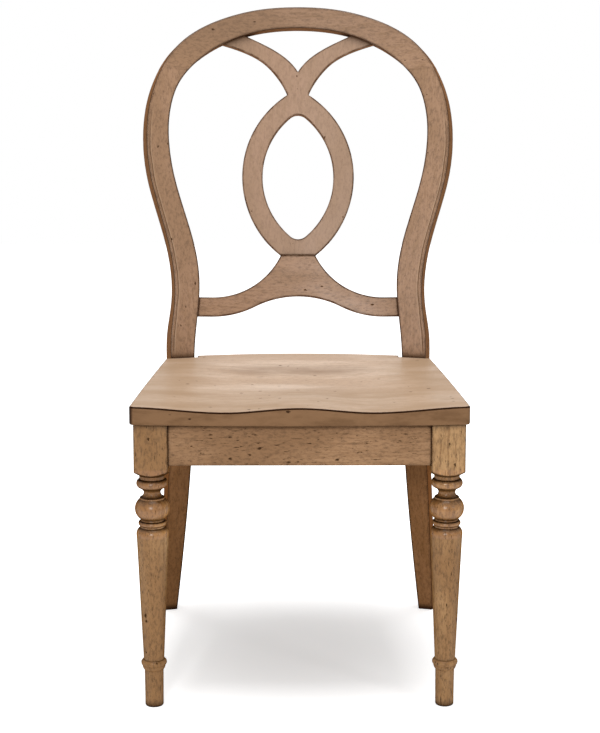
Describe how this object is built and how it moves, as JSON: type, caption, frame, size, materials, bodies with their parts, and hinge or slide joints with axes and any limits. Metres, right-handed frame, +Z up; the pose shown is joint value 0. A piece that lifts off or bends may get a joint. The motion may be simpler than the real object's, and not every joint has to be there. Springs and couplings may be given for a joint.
{
  "type": "side chair",
  "caption": "Wooden dining side chair with turned front legs, a saddled seat and a hoop back holding a pierced splat with spreading arms.",
  "frame": {"origin": "on the floor, under the middle of the chair's bounding box", "axes": "+Z up, +X to the right as seen from the front, +Y from the front edge of the seat to the back; the YZ plane is the chair's mirror plane"},
  "size_m": [0.5374, 0.595, 1.0704],
  "materials": {
    "seat_wood": "stained and lacquered, semi-gloss",
    "leg_wood": "stained with darker glaze in the turnings",
    "back_wood": "stained, worn at the edges",
    "splat_wood": "stained, satin",
    "apron_wood": "stained, satin",
    "block_wood": "bare sawn softwood",
    "dowel_wood": "bare beech",
    "screw_steel": "zinc-plated"
  },
  "bodies": {
    "root": {"seat": "seat_wood", "front_leg_left": "leg_wood", "front_leg_right": "leg_wood", "rear_post_left": "back_wood", "rear_post_right": "back_wood", "crest_rail": "back_wood", "back_splat": "splat_wood", "lower_back_rail": "back_wood", "front_apron": "apron_wood", "rear_apron": "apron_wood", "side_apron_left": "apron_wood", "side_apron_right": "apron_wood", "corner_block_front_left": "block_wood", "corner_block_front_right": "block_wood", "corner_block_rear_left": "block_wood", "corner_block_rear_right": "block_wood", "apron_dowels": "dowel_wood", "crest_dowels": "dowel_wood", "splat_dowels": "dowel_wood", "corner_block_screws": "screw_steel", "seat_screws": "screw_steel"}
  },
  "joints": []
}
